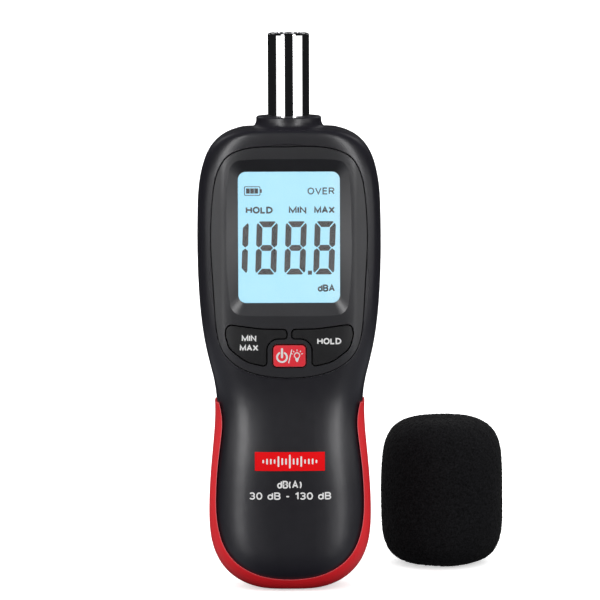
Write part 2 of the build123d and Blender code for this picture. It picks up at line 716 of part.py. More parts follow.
def make_windscreen():
    """Foam ball for the microphone, standing on its open end beside the meter."""
    foot = math.acos((FOAM_FOOT_RADIUS / FOAM_RADIUS) ** (FOAM_POWER / 2))
    low_reach = FOAM_WAIST / math.sin(foot) ** (2 / FOAM_POWER)
    high_reach = FOAM_HEIGHT - FOAM_WAIST
    points = []
    for step in range(FOAM_STEPS, 0, -1):
        out, down = quarter_point(foot * step / FOAM_STEPS, low_reach)
        points.append((out, FOAM_WAIST - down))
    for step in range(FOAM_STEPS):
        out, up = quarter_point(math.pi / 2 * step / FOAM_STEPS, high_reach)
        points.append((out, FOAM_WAIST + up))
    points.append((0, FOAM_HEIGHT))
    closing = Polyline((0, FOAM_HEIGHT), (0, FOAM_BORE_DEPTH), (FOAM_BORE, FOAM_BORE_DEPTH),
                       (FOAM_BORE, 0), points[0])
    side = Spline(*points)
    profile = make_face(Wire([side, *closing.edges()]))
    return Pos(*FOAM_CENTRE, 0) * revolve(Plane.XZ * profile, Axis.Z)


# --------------------------------------------------------------------- build
case = case_body()
cavity = case_body(WALL)
proud_skin = case_body(-POWER_KEY_PROUD)
grip_pocket = grip_layer(-1.0)
left_key, centre_key, right_key = key_outlines()
cells = dict(zip(("left", "middle", "right"), bay_cells()))

nodes = {
    "front_shell": make_front_shell(case, cavity, grip_pocket),
    "back_shell": make_back_shell(case, cavity, grip_pocket),
    "side_grip": grip_layer(-GRIP_PROUD),
    "front_bezel": make_front_bezel(case),
    "display_lens": make_display_lens(),
    "lcd_cell": make_lcd_cell(),
    "backlight_guide": make_backlight_guide(),
    "backlight_led": make_backlight_led(),
    "lcd_frame": make_lcd_frame(),
    "zebra_strip": make_zebra_strip(),
    "main_pcb": make_main_pcb(),
    "microcontroller": make_microcontroller(),
    "amplifier_chip": make_amplifier_chip(),
    "board_capacitors": make_board_capacitors(),
    "key_switches": make_key_switches(),
    "min_max_key": key_cap(left_key, "min_max", case),
    "hold_key": key_cap(right_key, "hold", case),
    "power_key": key_cap(centre_key, "power", proud_skin),
    "mic_barrel": make_mic_barrel(),
    "mic_grid": make_mic_grid(),
    "mic_capsule": make_mic_capsule(),
    "mic_sleeve": make_mic_sleeve(),
    "mic_lead": make_mic_lead(),
    "neck_grommet": make_neck_grommet(),
    "battery_tray": make_battery_tray(),
    "battery_plates": make_battery_plates(),
    "battery_springs": make_battery_springs(),
    "positive_lead": make_positive_lead(),
    "negative_lead": make_negative_lead(),
    "battery_door": make_battery_door(case),
    "door_pad": make_door_pad(),
    "rating_label": make_rating_label(case),
    "case_screws": make_case_screws(),
    "pcb_screws": make_pcb_screws(),
    "windscreen": make_windscreen(),
}
for name in ("min_max", "hold", "power"):
    nodes[name + "_plunger"] = make_key_plunger(name)
for name, (x, positive_up) in cells.items():
    nodes["aaa_cell_" + name] = make_aaa_cell(x, positive_up)

os.makedirs("parts", exist_ok=True)
for name, shape in nodes.items():
    export_step(shape, "parts/" + name + ".step")
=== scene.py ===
import math

import bmesh
import bpy
from mathutils import Matrix, Vector, noise
from mathutils.bvhtree import BVHTree


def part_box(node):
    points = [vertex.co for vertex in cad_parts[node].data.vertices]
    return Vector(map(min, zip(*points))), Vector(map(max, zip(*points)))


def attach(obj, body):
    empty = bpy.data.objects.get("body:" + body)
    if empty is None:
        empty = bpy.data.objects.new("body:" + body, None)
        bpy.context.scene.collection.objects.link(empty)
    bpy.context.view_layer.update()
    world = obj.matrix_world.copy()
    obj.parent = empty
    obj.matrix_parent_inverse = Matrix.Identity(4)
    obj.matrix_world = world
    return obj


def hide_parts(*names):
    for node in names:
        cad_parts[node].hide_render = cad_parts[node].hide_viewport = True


# A handheld sound level meter and its foam windscreen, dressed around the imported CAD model.
# The frame is in metres: +Z up along the microphone, -Y out of the display.

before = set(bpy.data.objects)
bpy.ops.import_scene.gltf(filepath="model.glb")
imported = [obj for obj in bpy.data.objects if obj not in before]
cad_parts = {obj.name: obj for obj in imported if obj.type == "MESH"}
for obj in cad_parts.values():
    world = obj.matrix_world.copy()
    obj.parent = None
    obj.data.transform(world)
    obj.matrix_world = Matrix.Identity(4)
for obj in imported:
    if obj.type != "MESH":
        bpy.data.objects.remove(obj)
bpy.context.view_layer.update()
MM = 0.001
NOISE_LOW, NOISE_HIGH = 0.3, 0.7     # the part of a noise value's range that its blobs use


# ------------------------------------------------------------------ materials
def add(nodes, kind, **values):
    """A shader node with its inputs or settings filled in by name."""
    node = nodes.new("ShaderNode" + kind)
    for name, value in values.items():
        if name in node.inputs:
            node.inputs[name].default_value = value
        else:
            setattr(node, name, value)
    return node


def blank(name, **sockets):
    """A material with an empty Principled shader, its nodes and its links."""
    made = bpy.data.materials.new(name)
    made.use_nodes = True
    nodes, links = made.node_tree.nodes, made.node_tree.links
    shader = nodes["Principled BSDF"]
    for socket, value in sockets.items():
        shader.inputs[socket.replace("_", " ")].default_value = value
    return made, nodes, links, shader


def cloud(nodes, links, size, detail=2.0, stretch=(1, 1, 1)):
    """Noise in object space whose blobs measure size millimetres."""
    place = add(nodes, "TexCoord")
    scaled = add(nodes, "Mapping", Scale=stretch)
    spots = add(nodes, "TexNoise", Scale=1 / (size * MM), Detail=detail)
    links.new(place.outputs["Object"], scaled.inputs["Vector"])
    links.new(scaled.outputs["Vector"], spots.inputs["Vector"])
    return spots.outputs["Fac"]


def ranged(nodes, links, value, start, stop, low=0.0, high=1.0):
    """A value that runs from start to stop, spread over low to high and held beyond them."""
    spread = add(nodes, "MapRange", **{"From Min": start, "From Max": stop, "To Min": low, "To Max": high})
    links.new(value, spread.inputs["Value"])
    return spread.outputs["Result"]


def between(nodes, links, value, low, high):
    """A noise value spread over low to high."""
    return ranged(nodes, links, value, NOISE_LOW, NOISE_HIGH, low, high)


def coordinate(nodes, links, axis, space="Object"):
    """One coordinate of the place being shaded."""
    place = add(nodes, "TexCoord")
    split = add(nodes, "SeparateXYZ")
    links.new(place.outputs[space], split.inputs["Vector"])
    return split.outputs[axis]


def unsigned(nodes, links, value):
    """A value without its sign."""
    positive = add(nodes, "Math", operation="ABSOLUTE")
    links.new(value, positive.inputs[0])
    return positive.outputs["Value"]


def two_tone(nodes, links, value, dark, light):
    """A colour between two, chosen by a noise value."""
    ramp = add(nodes, "ValToRGB")
    ramp.color_ramp.elements[0].position = NOISE_LOW
    ramp.color_ramp.elements[0].color = (*dark, 1)
    ramp.color_ramp.elements[1].position = NOISE_HIGH
    ramp.color_ramp.elements[1].color = (*light, 1)
    links.new(value, ramp.inputs["Fac"])
    return ramp.outputs["Color"]


def grain(nodes, links, shader, height, depth):
    """Fine relief, depth in millimetres."""
    bump = add(nodes, "Bump", Strength=1.0, Distance=depth * MM)
    links.new(height, bump.inputs["Height"])
    links.new(bump.outputs["Normal"], shader.inputs["Normal"])


EDGE_FLAT, EDGE_SHARP = 0.995, 0.86  # how far a rounded normal agrees with the flat one
EDGE_SAMPLES = 6


def painted_highlight_edge_mask(nodes, links, radius):
    """About 1 on edges sharper than radius millimetres, 0 on open surface; it places the painted edge
    highlight.
    """
    rounded = add(nodes, "Bevel", samples=EDGE_SAMPLES, Radius=radius * MM)
    flat = add(nodes, "NewGeometry")
    dot = add(nodes, "VectorMath", operation="DOT_PRODUCT")
    links.new(rounded.outputs["Normal"], dot.inputs[0])
    links.new(flat.outputs["Normal"], dot.inputs[1])
    return ranged(nodes, links, dot.outputs["Value"], EDGE_FLAT, EDGE_SHARP)


GLOSS_SWING = 0.012          # how far a moulding's roughness strays either way


def moulded(name, colour, rough, size=0.35, depth=0.012, vary=0.12, **sockets):
    """Moulded plastic or rubber: cloudy tone, uneven gloss and a fine grain."""
    made, nodes, links, shader = blank(name, **sockets)
    dark = [c * (1 - vary) for c in colour]
    light = [min(c * (1 + vary), 1) for c in colour]
    links.new(two_tone(nodes, links, cloud(nodes, links, 9.0, 4), dark, light),
              shader.inputs["Base Color"])
    links.new(between(nodes, links, cloud(nodes, links, 2.5, 3),
                      rough - GLOSS_SWING, rough + GLOSS_SWING),
              shader.inputs["Roughness"])
    grain(nodes, links, shader, cloud(nodes, links, size, 2), depth)
    return made


EDGED_TONE_SWING = 0.07      # share by which a red finish's body tone strays either way
EDGED_GLOSS_SWING = 0.04


def red_with_painted_edge_highlight(name, colour, edge_highlight_colour, rough, radius):
    """Red plastic or rubber with a painted highlight: its edges are painted a lighter colour where rounded
    edges would catch the light.
    """
    made, nodes, links, shader = blank(name, Specular_IOR_Level=0.3)
    body = two_tone(nodes, links, cloud(nodes, links, 12.0, 3),
                    [c * (1 - EDGED_TONE_SWING) for c in colour],
                    [min(c * (1 + EDGED_TONE_SWING), 1) for c in colour])
    mix = add(nodes, "MixRGB")
    links.new(painted_highlight_edge_mask(nodes, links, radius), mix.inputs["Fac"])
    links.new(body, mix.inputs["Color1"])
    # painted highlight: the lighter edge colour stands in for light caught on the rounded edges
    mix.inputs["Color2"].default_value = (*edge_highlight_colour, 1)
    links.new(mix.outputs["Color"], shader.inputs["Base Color"])
    links.new(between(nodes, links, cloud(nodes, links, 2.0, 3),
                      rough - EDGED_GLOSS_SWING, rough + EDGED_GLOSS_SWING),
              shader.inputs["Roughness"])
    grain(nodes, links, shader, cloud(nodes, links, 0.4, 2), 0.01)
    return made


FLANK_END = (19.6, 20.8)     # distance from the middle over which the smooth flanks give way, millimetres
FLANK_ROUGH, PANEL_ROUGH = 0.3, 0.62


def bezel_plastic():
    """Textured black panel whose moulded flanks beside the window are smoother."""
    made, nodes, links, shader = blank("textured_bezel")
    links.new(two_tone(nodes, links, cloud(nodes, links, 9.0, 4),
                       (0.021, 0.021, 0.024), (0.025, 0.025, 0.029)),
              shader.inputs["Base Color"])
    across = unsigned(nodes, links, coordinate(nodes, links, "X"))
    start, stop = FLANK_END
    links.new(ranged(nodes, links, across, start * MM, stop * MM, FLANK_ROUGH, PANEL_ROUGH),
              shader.inputs["Roughness"])
    grain(nodes, links, shader, cloud(nodes, links, 0.42, 2), 0.01)
    return made


def brushed(name, colour, rough, stretch=(1, 1, 0.04), size=0.12, depth=0.002):
    """Metal with fine lines along one axis."""
    made, nodes, links, shader = blank(name, Metallic=1.0)
    lines = cloud(nodes, links, size, 3, stretch)
    links.new(two_tone(nodes, links, cloud(nodes, links, 3.0, 2), [c * 0.92 for c in colour], colour),
              shader.inputs["Base Color"])
    links.new(between(nodes, links, lines, rough * 0.8, rough * 1.25), shader.inputs["Roughness"])
    grain(nodes, links, shader, lines, depth)
    return made


ACRYLIC_IOR = 1.49


def clear(name):
    """Clear acrylic with a faint haze."""
    made, nodes, links, shader = blank(name, Transmission_Weight=1.0, IOR=ACRYLIC_IOR)
    links.new(two_tone(nodes, links, cloud(nodes, links, 8.0), (0.97, 0.985, 0.99), (1, 1, 1)),
              shader.inputs["Base Color"])
    links.new(between(nodes, links, cloud(nodes, links, 5.0, 3), 0.0, 0.02),
              shader.inputs["Roughness"])
    return made


def lit_display():
    """The liquid crystal cell, lit pale blue from behind and a little brighter at its right edge."""
    made, nodes, links, shader = blank("lit_display", Roughness=0.2, Emission_Strength=0.93)
    low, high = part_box("lcd_cell")
    across = ranged(nodes, links, coordinate(nodes, links, "X"), low.x, high.x)
    ramp = add(nodes, "ValToRGB")
    ramp.color_ramp.elements[0].color = (0.38, 0.785, 1.0, 1)
    ramp.color_ramp.elements[1].color = (0.46, 0.80, 0.96, 1)
    ramp.color_ramp.elements[1].position = 1.0
    middle = ramp.color_ramp.elements.new(0.82)
    middle.color = (0.385, 0.785, 1.0, 1)
    links.new(across, ramp.inputs["Fac"])
    links.new(ramp.outputs["Color"], shader.inputs["Emission Color"])
    links.new(two_tone(nodes, links, cloud(nodes, links, 1.2, 3), (0.04, 0.06, 0.07), (0.05, 0.07, 0.08)),
              shader.inputs["Base Color"])
    return made


def foam():
    """Open-cell foam: near black with a scatter of faintly lighter fibres."""
    made, nodes, links, shader = blank("open_cell_foam", Sheen_Weight=0.02, Sheen_Roughness=0.5,
                                       Specular_IOR_Level=0.05)
    fibres = cloud(nodes, links, 0.45, 4)
    links.new(two_tone(nodes, links, fibres, (0.0004, 0.0004, 0.0005), (0.0105, 0.0105, 0.0122)),
              shader.inputs["Base Color"])
    links.new(between(nodes, links, fibres, 0.95, 0.85), shader.inputs["Roughness"])
    grain(nodes, links, shader, cloud(nodes, links, 0.3, 4), 0.15)
    return made


def board():
    """Green solder mask with faint track relief."""
    made, nodes, links, shader = blank("solder_mask", Roughness=0.35)
    place = add(nodes, "TexCoord")
    tracks = add(nodes, "TexBrick", Scale=420.0)
    tracks.inputs["Color1"].default_value = (0.012, 0.13, 0.045, 1)
    tracks.inputs["Color2"].default_value = (0.01, 0.105, 0.038, 1)
    tracks.inputs["Mortar"].default_value = (0.02, 0.2, 0.07, 1)
    links.new(place.outputs["Object"], tracks.inputs["Vector"])
    links.new(tracks.outputs["Color"], shader.inputs["Base Color"])
    grain(nodes, links, shader, tracks.outputs["Fac"], 0.03)
    return made


def printed_sleeve():
    """The cell's printed sleeve: dark with one copper band at the upper end."""
    made, nodes, links, shader = blank("cell_sleeve", Metallic=0.6, Roughness=0.28)
    ramp = add(nodes, "ValToRGB")
    ramp.color_ramp.interpolation = "CONSTANT"
    ramp.color_ramp.elements[0].color = (0.02, 0.022, 0.028, 1)
    ramp.color_ramp.elements[1].position = 0.72
    ramp.color_ramp.elements[1].color = (0.5, 0.26, 0.1, 1)
    low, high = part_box("aaa_cell_left")
    along = ranged(nodes, links, coordinate(nodes, links, "Z"), low.z, high.z)
    links.new(along, ramp.inputs["Fac"])
    links.new(ramp.outputs["Color"], shader.inputs["Base Color"])
    return made


satin_case = moulded("satin_case", (0.0088, 0.0082, 0.0128), 0.33, size=0.28, depth=0.003, vary=0.08)
textured_bezel = bezel_plastic()
black_key = moulded("black_key", (0.0085, 0.0085, 0.0098), 0.34, size=0.3, depth=0.006)
# The second colour of each red finish is a painted edge highlight.
red_key = red_with_painted_edge_highlight("red_key", (0.84, 0.028, 0.046), (0.90, 0.10, 0.11), 0.35, 0.3)
red_rubber = red_with_painted_edge_highlight("red_rubber", (0.74, 0.014, 0.022), (0.85, 0.16, 0.18), 0.42, 0.4)
chrome = brushed("chrome", (0.93, 0.93, 0.94), 0.015, depth=0.0002)
steel = brushed("brushed_steel", (0.58, 0.58, 0.6), 0.3)
zinc = brushed("zinc_steel", (0.62, 0.63, 0.66), 0.28, stretch=(1, 1, 1), size=0.6)
brass = brushed("nickel_brass", (0.72, 0.62, 0.4), 0.3)
black_frame = moulded("black_frame", (0.012, 0.012, 0.013), 0.55)
soft_black = moulded("soft_black", (0.01, 0.01, 0.01), 0.75, size=0.5, depth=0.03)
chip_epoxy = moulded("chip_epoxy", (0.013, 0.013, 0.014), 0.6, size=0.2, depth=0.02)
label_film = moulded("label_film", (0.42, 0.43, 0.44), 0.42, size=1.0, depth=0.004, vary=0.05)
white_ink = moulded("white_ink", (0.80, 0.80, 0.80), 0.5, size=0.4, depth=0.004, vary=0.04)
badge_red = moulded("badge_red", (0.82, 0.0006, 0.004), 0.5, size=0.5, depth=0.004, vary=0.05,
                    Specular_IOR_Level=0.06)
crystal_black = moulded("crystal_black", (0.012, 0.007, 0.007), 0.35, size=0.8, depth=0.002, vary=0.3)

FINISHES = {
    satin_case: ["front_shell", "back_shell", "battery_door"],
    textured_bezel: ["front_bezel"],
    red_rubber: ["side_grip"],
    clear("clear_acrylic"): ["display_lens", "backlight_guide"],
    lit_display(): ["lcd_cell"],
    moulded("lamp_white", (0.7, 0.72, 0.74), 0.4): ["backlight_led"],
    black_frame: ["lcd_frame", "battery_tray", "mic_sleeve"],
    soft_black: ["zebra_strip", "neck_grommet", "door_pad"],
    board(): ["main_pcb"],
    chip_epoxy: ["microcontroller", "amplifier_chip", "board_capacitors", "key_switches"],
    black_key: ["min_max_key", "hold_key"],
    red_key: ["power_key"],
    moulded("plunger", (0.012, 0.012, 0.012), 0.3): ["min_max_plunger", "hold_plunger", "power_plunger"],
    chrome: ["mic_barrel"],
    steel: ["mic_grid", "mic_capsule"],
    zinc: ["case_screws", "pcb_screws", "battery_springs"],
    brass: ["battery_plates"],
    printed_sleeve(): ["aaa_cell_left", "aaa_cell_middle", "aaa_cell_right"],
    moulded("grey_wire", (0.2, 0.2, 0.2), 0.5): ["mic_lead"],
    moulded("red_wire", (0.5, 0.02, 0.02), 0.5): ["positive_lead"],
    moulded("black_wire", (0.012, 0.012, 0.012), 0.5): ["negative_lead"],
    label_film: ["rating_label"],
    foam(): ["windscreen"],
}
for finish, names in FINISHES.items():
    for node_name in names:
        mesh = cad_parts[node_name].data
        mesh.materials.clear()
        mesh.materials.append(finish)


# ------------------------------------------------------------- mesh toolkit
def piece(name, work, finish, body):
    """A finished mesh piece from a bmesh, riding on a body."""
    mesh = bpy.data.meshes.new(name)
    bmesh.ops.recalc_face_normals(work, faces=work.faces)
    work.to_mesh(mesh)
    work.free()
    mesh.materials.append(finish)
    made = bpy.data.objects.new(name, mesh)
    bpy.context.scene.collection.objects.link(made)
    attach(made, body)
    return made


def skin_of(*names):
    """The surfaces of some CAD nodes, to lay prints on."""
    corners, faces = [], []
    for name in names:
        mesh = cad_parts[name].data
        start = len(corners)
        corners += [v.co.copy() for v in mesh.vertices]
        faces += [[start + i for i in p.vertices] for p in mesh.polygons]
    return BVHTree.FromPolygons(corners, faces)


RAY_START = -0.05            # Y in front of every part of the meter, metres


def front_y(skin, x, z):
    """Y of a surface's front at a place, or None past its edge."""
    hit = skin.ray_cast(Vector((x, RAY_START, z)), Vector((0, 1, 0)))[0]
    return None if hit is None else hit.y


def add_plate(work, outline, low, high):
    """A flat plate in X and Z between two Y values, from (x, z) points in millimetres."""
    rings = [[work.verts.new((x * MM, y * MM, z * MM)) for x, z in outline] for y in (low, high)]
    work.faces.new(rings[0])
    work.faces.new(rings[1][::-1])
    for i in range(len(outline)):
        j = (i + 1) % len(outline)
        work.faces.new((rings[0][i], rings[0][j], rings[1][j], rings[1][i]))


def add_stroke(work, points, width, low, high):
    """A line of some width with round ends, as one plate in X and Z."""
    half = width / 2
    left, right = [], []
    for i, (x, z) in enumerate(points):
        before, after = points[max(i - 1, 0)], points[min(i + 1, len(points) - 1)]
        run = Vector((after[0] - before[0], after[1] - before[1])).normalized()
        left.append((x - run.y * half, z + run.x * half))
        right.append((x + run.y * half, z - run.x * half))
    caps = []
    for (x, z), (nx, nz) in ((points[-1], points[-2]), (points[0], points[1])):
        heading = math.atan2(z - nz, x - nx)
        caps.append([(x + half * math.cos(heading + turn), z + half * math.sin(heading + turn))
                     for turn in (math.radians(a) for a in (60, 30, 0, -30, -60))])
    add_plate(work, left + caps[0] + right[::-1] + caps[1], low, high)


def circle_part(x, z, rx, rz, start, stop, steps=12):
    """Points on part of an ellipse, angles in degrees."""
    angles = [math.radians(start + (stop - start) * i / steps) for i in range(steps + 1)]
    return [(x + rx * math.cos(a), z + rz * math.sin(a)) for a in angles]


# Capital letters as strokes in a box 1 high, each with its width.
GLYPHS = {
    "A": (0.74, [[(0, 0), (0.37, 1), (0.74, 0)], [(0.13, 0.34), (0.61, 0.34)]]),
    "B": (0.62, [[(0, 0), (0, 1), *circle_part(0.34, 0.76, 0.25, 0.24, 90, -90), (0, 0.52)],
                 [(0, 0.52), *circle_part(0.36, 0.26, 0.26, 0.26, 90, -90), (0, 0)]]),
    "D": (0.68, [[(0, 0), (0, 1), *circle_part(0.22, 0.5, 0.46, 0.5, 90, -90), (0, 0)]]),
    "E": (0.56, [[(0.56, 1), (0, 1), (0, 0), (0.56, 0)], [(0, 0.52), (0.5, 0.52)]]),
    "H": (0.66, [[(0, 0), (0, 1)], [(0.66, 0), (0.66, 1)], [(0, 0.52), (0.66, 0.52)]]),
    "I": (0.0, [[(0, 0), (0, 1)]]),
    "L": (0.52, [[(0, 1), (0, 0), (0.52, 0)]]),
    "M": (0.84, [[(0, 0), (0, 1), (0.42, 0.1), (0.84, 1), (0.84, 0)]]),
    "N": (0.66, [[(0, 0), (0, 1), (0.66, 0), (0.66, 1)]]),
    "O": (0.76, [circle_part(0.38, 0.5, 0.38, 0.5, 0, 360, 28)]),
    "R": (0.64, [[(0, 0), (0, 1), *circle_part(0.36, 0.75, 0.26, 0.25, 90, -90), (0, 0.5)],
                 [(0.34, 0.5), (0.64, 0)]]),
    "V": (0.72, [[(0, 1), (0.36, 0), (0.72, 1)]]),
    "X": (0.72, [[(0, 0), (0.72, 1)], [(0, 1), (0.72, 0)]]),
    "d": (0.54, [[(0.54, 0), (0.54, 1)], circle_part(0.27, 0.34, 0.27, 0.34, 0, 360, 24)]),
    "0": (0.6, [circle_part(0.3, 0.5, 0.3, 0.5, 0, 360, 28)]),
    "1": (0.3, [[(0, 0.78), (0.3, 1), (0.3, 0)]]),
    "3": (0.58, [[*circle_part(0.29, 0.75, 0.27, 0.25, 155, -75), (0.22, 0.51)],
                 [(0.22, 0.51), *circle_part(0.29, 0.26, 0.29, 0.26, 80, -155)]]),
    "-": (0.34, [[(0, 0.42), (0.34, 0.42)]]),
    "(": (0.22, [circle_part(0.6, 0.45, 0.6, 0.75, 140, 220)]),
    ")": (0.22, [circle_part(-0.38, 0.45, 0.6, 0.75, -40, 40)]),
    " ": (0.2, []),
}
LETTER_GAP = 0.3             # between letters, as a share of their height


MITRE_LIMIT = 0.3            # corners sharper than this cosine of the half turn are cut short
SAME_PLACE = 1e-6            # a line's ends this close, in millimetres, close it
TURNED_BACK = 1e-3           # runs whose sum is this short double back on themselves


def add_line(work, points, width, low, high):
    """A line of even width with square ends and mitred corners, as one plate for each run."""
    half = width / 2
    closed = math.dist(points[0], points[-1]) < SAME_PLACE
    sides = []
    for i, (x, z) in enumerate(points):
        before = points[i - 1] if i else (points[-2] if closed else None)
        after = points[i + 1] if i + 1 < len(points) else (points[1] if closed else None)
        runs = [Vector((q[0] - p[0], q[1] - p[1])).normalized()
                for p, q in ((before, (x, z)), ((x, z), after)) if p and q]
        along = sum(runs, Vector((0, 0)))
        along = along.normalized() if along.length > TURNED_BACK else runs[0]
        mitre = min(half / max(along.dot(runs[0]), MITRE_LIMIT), width)
        sides.append(((x - along.y * mitre, z + along.x * mitre),
                      (x + along.y * mitre, z - along.x * mitre)))
    for (left_a, right_a), (left_b, right_b) in zip(sides, sides[1:]):
        add_plate(work, [left_a, right_a, right_b, left_b], low, high)


def lettering(text, x_range, z_range, weight, low, high):
    """A bmesh of stroked capitals that fills a box in X and Z, in millimetres."""
    spans, at = [], 0.0
    for letter in text:
        spans.append(at)
        at += GLYPHS[letter][0] + LETTER_GAP
    left, bottom = x_range[0] + weight / 2, z_range[0] + weight / 2
    wide = (x_range[1] - x_range[0] - weight) / (at - LETTER_GAP)
    tall = z_range[1] - z_range[0] - weight
    work = bmesh.new()
    for letter, start in zip(text, spans):
        for stroke in GLYPHS[letter][1]:
            line = [(left + (start + x) * wide, bottom + z * tall) for x, z in stroke]
            add_line(work, line, weight, low, high)
    return work


def lay_on(work, skin):
    """Shifts each point of a flat print along Y by the surface's place behind it."""
    for vert in work.verts:
        y = front_y(skin, vert.co.x, vert.co.z)
        if y is not None:
            vert.co.y += y


# ------------------------------------------------------------------ display
CELL_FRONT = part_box("lcd_cell")[0].y / MM
SEGMENT_LAYER = (CELL_FRONT - 0.03, CELL_FRONT + 0.01)
# Millimetres: the digits' middle height, spacing, and the middle of the rightmost one.
DIGIT_MIDDLE = 106.12
DIGIT_PITCH = 8.81
DIGIT_LAST = 10.78
DIGIT_HALF_WIDTH = 3.2
DIGIT_HALF_HEIGHT = 8.12
DIGIT_STROKE = 1.78
DIGIT_SLANT = 0.036          # shift in X for each unit of height
DIGIT_COUNT = 4              # the leftmost shows only its right half, a 1


def segments():
    """The seven segment shapes of a digit centred on 0, 0, by name."""
    w, h, t = DIGIT_HALF_WIDTH, DIGIT_HALF_HEIGHT, DIGIT_STROKE
    side = [(w - 0.42, h - 0.55), (w - t, h - t - 0.22), (w - t, t / 2 + 0.12), (w - t / 2, 0.14),
            (w - 0.12, 0.75), (w, 1.1), (w, h - 1.3), (w - 0.12, h - 0.8)]
    bar = [(-w + 0.85, h - 0.08), (-w + 1.1, h), (w - 1.1, h), (w - 0.85, h - 0.08), (w - 0.72, h - 0.28),
           (w - t - 0.2, h - t), (-w + t + 0.2, h - t), (-w + 0.72, h - 0.28)]
    middle = [(-w + t / 2 + 0.32, 0), (-w + t + 0.18, t / 2), (w - t - 0.18, t / 2),
              (w - t / 2 - 0.32, 0), (w - t - 0.18, -t / 2), (-w + t + 0.18, -t / 2)]
    return {
        "upper_right": side,
        "lower_right": [(x, -z) for x, z in side],
        "upper_left": [(-x, z) for x, z in side],
        "lower_left": [(-x, -z) for x, z in side],
        "top": bar,
        "bottom": [(x, -z) for x, z in bar],
        "middle": middle,
    }


def make_digits():
    """Every segment of the reading and its decimal point."""
    work = bmesh.new()
    shapes = segments()
    for place in range(DIGIT_COUNT):
        centre = DIGIT_LAST - DIGIT_PITCH * place
        names = shapes if place < DIGIT_COUNT - 1 else ("upper_right", "lower_right")
        for name in names:
            slanted = [(centre + x + DIGIT_SLANT * z, DIGIT_MIDDLE + z) for x, z in shapes[name]]
            add_plate(work, slanted, *SEGMENT_LAYER)
    x, z = DIGIT_LAST - DIGIT_PITCH / 2 - 0.06, DIGIT_MIDDLE - DIGIT_HALF_HEIGHT + 0.55
    add_plate(work, [(x - 0.62, z - 0.6), (x + 0.6, z - 0.6), (x + 0.64, z + 0.62), (x - 0.58, z + 0.62)],
              *SEGMENT_LAYER)
    piece("lcd_digits", work, crystal_black, "housing")


ICON_LINE = 0.24
ICON_BARS, ICON_BAR_LEFT, ICON_BAR_PITCH, ICON_BAR_WIDTH = 3, -12.98, 1.26, 1.14
ICON_BAR_Z = (122.72, 124.28)


def make_battery_icon():
    """The battery outline with its end cap and charge bars."""
    work = bmesh.new()
    frame_line = [(-13.3, 122.2), (-8.95, 122.2), (-8.75, 122.4), (-8.75, 124.6), (-8.95, 124.8),
                  (-13.3, 124.8), (-13.45, 124.6), (-13.45, 122.4), (-13.3, 122.2)]
    for start, stop in zip(frame_line, frame_line[1:]):
        add_stroke(work, [start, stop], ICON_LINE, *SEGMENT_LAYER)
    add_plate(work, [(-8.62, 122.95), (-8.2, 122.95), (-8.2, 124.05), (-8.62, 124.05)], *SEGMENT_LAYER)
    bottom, top = ICON_BAR_Z
    for i in range(ICON_BARS):
        left = ICON_BAR_LEFT + ICON_BAR_PITCH * i
        right = left + ICON_BAR_WIDTH
        add_plate(work, [(left, bottom), (right, bottom), (right, top), (left, top)], *SEGMENT_LAYER)
    piece("lcd_battery_icon", work, crystal_black, "housing")


# Piece, text, X range, Z range and line weight, in millimetres.
DISPLAY_WORDS = [
    ("lcd_over", "OVER", (5.66, 13.85), (122.38, 124.5), 0.36),
    ("lcd_hold", "HOLD", (-13.1, -4.9), (116.62, 118.74), 0.5),
    ("lcd_min", "MIN", (-0.05, 5.3), (116.62, 118.74), 0.5),
    ("lcd_max", "MAX", (7.65, 13.95), (116.62, 118.74), 0.5),
    ("lcd_unit", "dBA", (8.66, 13.9), (92.72, 94.92), 0.48),
]


def make_display_words():
    """The small words round the reading."""
    for name, text, x_range, z_range, weight in DISPLAY_WORDS:
        work = lettering(text, x_range, z_range, weight, *SEGMENT_LAYER)
        piece(name, work, crystal_black, "housing")


# --------------------------------------------------------------- key legends
INK = (-0.03, 0.03)          # a print's front and back against the surface under it
LEGEND_WEIGHT = 0.42


def make_key_legends():
    """The white words on the two wing keys."""
    for name, text, x_range, z_range, node_name, body in (
            ("legend_min", "MIN", (-14.5, -10.05), (77.8, 79.75), "min_max_key", "min_max_button"),
            ("legend_max", "MAX", (-15.1, -9.45), (74.85, 76.8), "min_max_key", "min_max_button"),
            ("legend_hold", "HOLD", (8.45, 15.8), (76.85, 78.8), "hold_key", "hold_button")):
        work = lettering(text, x_range, z_range, LEGEND_WEIGHT, *INK)
        lay_on(work, skin_of(node_name))
        piece(name, work, white_ink, body)


POWER_RING, POWER_RING_RADIUS = (-2.26, 72.98), 1.5
LAMP, LAMP_RADIUS = (2.31, 73.5), 0.82
LAMP_RAYS = (18, 50, 90, 130, 162)   # degrees
LAMP_RAY_REACH = (1.42, 1.75)        # each ray's start and end, from the lamp's middle


def make_power_symbols():
    """Power ring, slash and lamp on the centre key."""
    work = bmesh.new()
    add_stroke(work, circle_part(*POWER_RING, POWER_RING_RADIUS, POWER_RING_RADIUS, 122, 418, 36), 0.56, *INK)
    stem = POWER_RING[0]
    add_stroke(work, [(stem, 72.95), (stem, 74.2), (stem, 75.45)], 0.66, *INK)
    add_stroke(work, [(-0.24, 71.2), (0.7, 75.25)], 0.3, *INK)
    add_stroke(work, circle_part(*LAMP, LAMP_RADIUS, LAMP_RADIUS, -62, 242, 30), 0.28, *INK)
    add_plate(work, [(1.72, 72.72), (2.9, 72.72), (2.72, 71.95), (2.5, 71.5), (2.12, 71.5), (1.9, 71.95)],
              *INK)
    for a in (math.radians(angle) for angle in LAMP_RAYS):
        add_stroke(work, [(LAMP[0] + r * math.cos(a), LAMP[1] + r * math.sin(a)) for r in LAMP_RAY_REACH],
                   0.26, *INK)
    lay_on(work, skin_of("power_key"))
    piece("legend_power_light", work, white_ink, "power_button")


